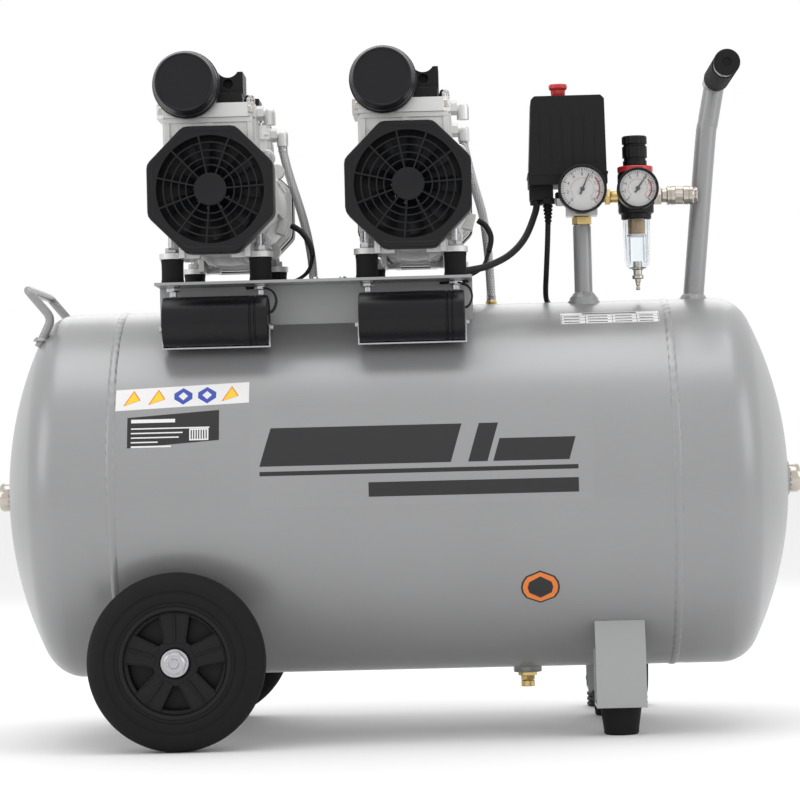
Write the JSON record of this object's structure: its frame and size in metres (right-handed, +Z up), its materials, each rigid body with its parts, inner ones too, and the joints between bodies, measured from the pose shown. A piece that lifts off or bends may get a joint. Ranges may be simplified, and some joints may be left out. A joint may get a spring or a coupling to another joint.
{
  "type": "air compressor",
  "caption": "Wheeled air compressor: a lying steel tank carries oil-free piston pumps on a platform, with a pressure switch, gauges, filter-regulator, coupler and push handle.",
  "frame": {"origin": "on the floor under the middle of the tank", "axes": "+X along the tank towards the push handle, +Y to the back, +Z up"},
  "size_m": [0.882, 0.5157, 0.7327],
  "materials": {
    "paint": "satin grey silver paint",
    "tank_paint": "satin grey silver paint",
    "zinc": "zinc plated",
    "steel": "machined",
    "alloy": "die cast",
    "brass": "machined",
    "rubber": "matt",
    "tyre": "matt",
    "black_plastic": "satin",
    "red_plastic": "gloss",
    "copper": "enamelled windings",
    "dial": "white dial in a black case",
    "clear": "clear",
    "black_metal": "satin black",
    "steel_hose": "braided"
  },
  "bodies": {
    "base": {"tank_shell": "tank_paint", "tank_heads": "tank_paint", "end_plugs": "zinc", "tank_fittings": "brass", "wheel_brackets": "paint", "axle_bolts": "zinc", "foot_brackets": "paint", "rubber_feet": "rubber", "carry_handle": "paint", "push_handle": "paint", "handle_grips": "rubber", "pump_platform": "paint", "isolators": "rubber", "bolts": "zinc", "capacitors": "black_plastic", "capacitor_straps": "zinc", "crankcases": "alloy", "bearings": "steel", "motor_shells": "alloy", "stators": "copper", "cylinders": "alloy", "heads": "alloy", "head_covers": "black_plastic", "air_filters": "black_plastic", "fan_grilles": "black_plastic", "riser_pipe": "paint", "manifold": "brass", "switch_base": "black_plastic", "switch_cover": "black_plastic", "gauge_cases": "dial", "gauge_lenses": "clear", "regulator_body": "black_plastic", "filter_bowl": "clear", "filter_element": "brass", "coupler_body": "zinc", "discharge_hoses": "steel_hose", "cables": "rubber", "mains_cord": "rubber", "mains_coil": "rubber", "mains_plug": "rubber"},
    "drain": {"drain_knob": "brass"},
    "front_wheel": {"front_tyre": "tyre", "front_rim": "black_plastic"},
    "rear_wheel": {"rear_tyre": "tyre", "rear_rim": "black_plastic"},
    "left_crank": {"left_crankshaft": "steel", "left_fans": "black_plastic"},
    "right_crank": {"right_crankshaft": "steel", "right_fans": "black_plastic"},
    "left_front_rod": {"left_front_piston": "alloy"},
    "left_rear_rod": {"left_rear_piston": "alloy"},
    "right_front_rod": {"right_front_piston": "alloy"},
    "right_rear_rod": {"right_rear_piston": "alloy"},
    "knob": {"switch_knob": "red_plastic"},
    "regulator": {"regulator_knob": "black_plastic"},
    "tank_pointer": {"tank_needle": "black_metal"},
    "outlet_pointer": {"outlet_needle": "black_metal"},
    "bowl_valve": {"bowl_drain": "brass"},
    "sleeve": {"coupler_sleeve": "zinc"},
    "relief": {"safety_ring": "zinc"}
  },
  "joints": [
    {"name": "left_crank_spin", "type": "hinge", "parent": "base", "child": "left_crank", "pos_m": [-0.185, 0, 0.585], "axis": [0, 1, 0], "continuous": true},
    {"name": "left_front_rod_pivot", "type": "hinge", "parent": "left_crank", "child": "left_front_rod", "pos_m": [-0.185, -0.11, 0.59], "axis": [0, 1, 0], "continuous": true},
    {"name": "left_rear_rod_pivot", "type": "hinge", "parent": "left_crank", "child": "left_rear_rod", "pos_m": [-0.185, 0.11, 0.58], "axis": [0, 1, 0], "continuous": true},
    {"name": "right_crank_spin", "type": "hinge", "parent": "base", "child": "right_crank", "pos_m": [0.0225, 0, 0.585], "axis": [0, 1, 0], "continuous": true},
    {"name": "right_front_rod_pivot", "type": "hinge", "parent": "right_crank", "child": "right_front_rod", "pos_m": [0.0225, -0.11, 0.59], "axis": [0, 1, 0], "continuous": true},
    {"name": "right_rear_rod_pivot", "type": "hinge", "parent": "right_crank", "child": "right_rear_rod", "pos_m": [0.0225, 0.11, 0.58], "axis": [0, 1, 0], "continuous": true},
    {"name": "front_wheel_spin", "type": "hinge", "parent": "base", "child": "front_wheel", "pos_m": [-0.2293, -0.2055, 0.0928], "axis": [0, 1, 0], "continuous": true},
    {"name": "rear_wheel_spin", "type": "hinge", "parent": "base", "child": "rear_wheel", "pos_m": [-0.2293, 0.2055, 0.0928], "axis": [0, 1, 0], "continuous": true},
    {"name": "drain_turn", "type": "hinge", "parent": "base", "child": "drain", "pos_m": [0.137, 0, 0.047], "axis": [0, 0, 1], "range_deg": [0, 360]},
    {"name": "regulator_turn", "type": "hinge", "parent": "base", "child": "regulator", "pos_m": [0.2685, -0.025, 0.63], "axis": [0, 0, 1], "range_deg": [-360, 360]},
    {"name": "tank_gauge_needle", "type": "hinge", "parent": "base", "child": "tank_pointer", "pos_m": [0.2087, -0.075, 0.5845], "axis": [0, 1, 0], "range_deg": [-159, 111]},
    {"name": "outlet_gauge_needle", "type": "hinge", "parent": "base", "child": "outlet_pointer", "pos_m": [0.2685, -0.075, 0.5835], "axis": [0, 1, 0], "range_deg": [-169, 101]},
    {"name": "switch_knob_pull", "type": "slide", "parent": "base", "child": "knob", "axis": [0, 0, 1], "range_m": [0, 0.006]},
    {"name": "bowl_drain_push", "type": "slide", "parent": "base", "child": "bowl_valve", "axis": [0, 0, 1], "range_m": [0, 0.002], "stiffness_N_per_m": 200},
    {"name": "coupler_sleeve_pull", "type": "slide", "parent": "base", "child": "sleeve", "axis": [-1, 0, 0], "range_m": [0, 0.0045], "stiffness_N_per_m": 400},
    {"name": "safety_ring_pull", "type": "slide", "parent": "base", "child": "relief", "axis": [0, 1, 0], "range_m": [0, 0.003], "stiffness_N_per_m": 300}
  ],
  "couplings": [
    {"joint": "left_front_rod_pivot", "follows": "left_crank_spin", "ratio": -1},
    {"joint": "left_rear_rod_pivot", "follows": "left_crank_spin", "ratio": -1},
    {"joint": "right_front_rod_pivot", "follows": "right_crank_spin", "ratio": -1},
    {"joint": "right_rear_rod_pivot", "follows": "right_crank_spin", "ratio": -1}
  ]
}
